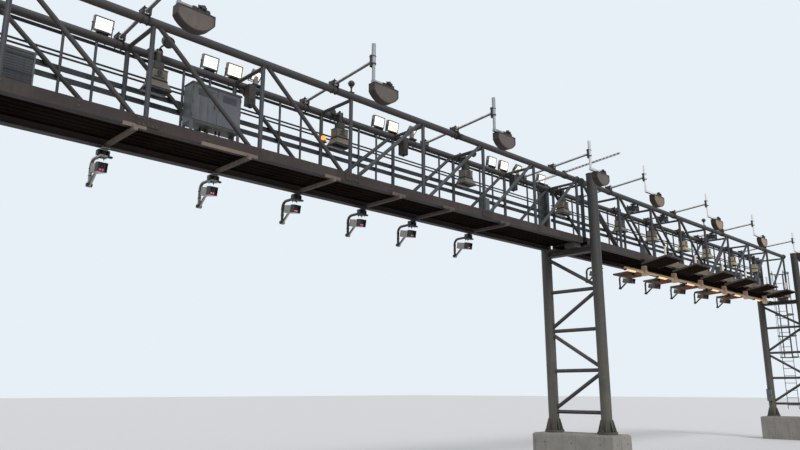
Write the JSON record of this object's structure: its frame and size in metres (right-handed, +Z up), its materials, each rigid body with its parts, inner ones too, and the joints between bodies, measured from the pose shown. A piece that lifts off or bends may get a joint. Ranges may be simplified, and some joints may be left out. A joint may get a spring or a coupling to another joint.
{
  "type": "toll gantry",
  "caption": "Electronic toll gantry: braced towers carry tubular box trusses over two carriageways, with antennas, cameras, lamps, cabinets and a caged ladder.",
  "frame": {"origin": "on the ground under the middle of the trusses, at the central tower", "axes": "+X along the gantry, -Y is the side that faces the oncoming traffic, +Z up"},
  "size_m": [33.875, 3.3082, 8.0302],
  "materials": {
    "concrete": "rough cast concrete",
    "column_paint": "weathered grey paint",
    "tower_steel": "weathered grey paint",
    "truss_paint": "weathered dark grey-brown paint",
    "fascia_paint": "faded reddish grey paint",
    "deck_sheet": "dull dark sheet",
    "tray_steel": "dull galvanised",
    "conduit_steel": "dull galvanised",
    "galvanised_steel": "spangled galvanised",
    "antenna_shell": "matt tan-grey",
    "floodlight_shell": "satin grey",
    "head_shell": "matt light grey",
    "gooseneck_steel": "dark grey satin",
    "camera_shell": "satin grey",
    "cabinet_paint": "satin light grey",
    "tan_paint": "weathered tan",
    "ladder_steel": "dull galvanised",
    "dome_shell": "matt black",
    "wing_sheet": "dull dark brown",
    "round_lamp_shell": "matt black",
    "beacon_lens": "clear orange"
  },
  "bodies": {
    "root": {"antenna_arms": "galvanised_steel", "antenna_masts": "galvanised_steel", "antennas": "antenna_shell", "back_truss_left": "truss_paint", "back_truss_right": "truss_paint", "beacon": "beacon_lens", "bracing_centre": "tower_steel", "bracing_left": "tower_steel", "bracing_right": "tower_steel", "cable_trays_left": "tray_steel", "cable_trays_right": "tray_steel", "camera_beams": "galvanised_steel", "camera_goosenecks": "gooseneck_steel", "camera_housings": "camera_shell", "column_centre_front": "column_paint", "column_centre_rear": "column_paint", "column_left_front": "column_paint", "column_left_rear": "column_paint", "column_right_front": "column_paint", "column_right_rear": "column_paint", "conduits_left": "conduit_steel", "conduits_right": "conduit_steel", "cross_beam_centre": "tower_steel", "cross_beam_left": "tower_steel", "cross_beam_right": "tower_steel", "deck_frame_left": "fascia_paint", "deck_frame_right": "fascia_paint", "deck_plate_left": "deck_sheet", "deck_plate_right": "deck_sheet", "detection_heads": "head_shell", "dome_posts": "dome_shell", "equipment_rail": "tan_paint", "floodlights": "floodlight_shell", "front_truss_left": "truss_paint", "front_truss_right": "truss_paint", "front_wing_panels": "wing_sheet", "junction_boxes": "cabinet_paint", "ladder": "ladder_steel", "ladder_cage": "ladder_steel", "lamp_boxes": "head_shell", "large_cabinet": "cabinet_paint", "louvred_cabinet": "cabinet_paint", "pedestal_centre": "concrete", "pedestal_left": "concrete", "pedestal_right": "concrete", "perforated_strut": "galvanised_steel", "rear_wing_panels": "wing_sheet", "round_lamps": "round_lamp_shell", "soffit_left": "deck_sheet", "soffit_right": "deck_sheet", "switch_box": "cabinet_paint", "top_struts_left": "truss_paint", "top_struts_right": "truss_paint"}
  },
  "joints": []
}
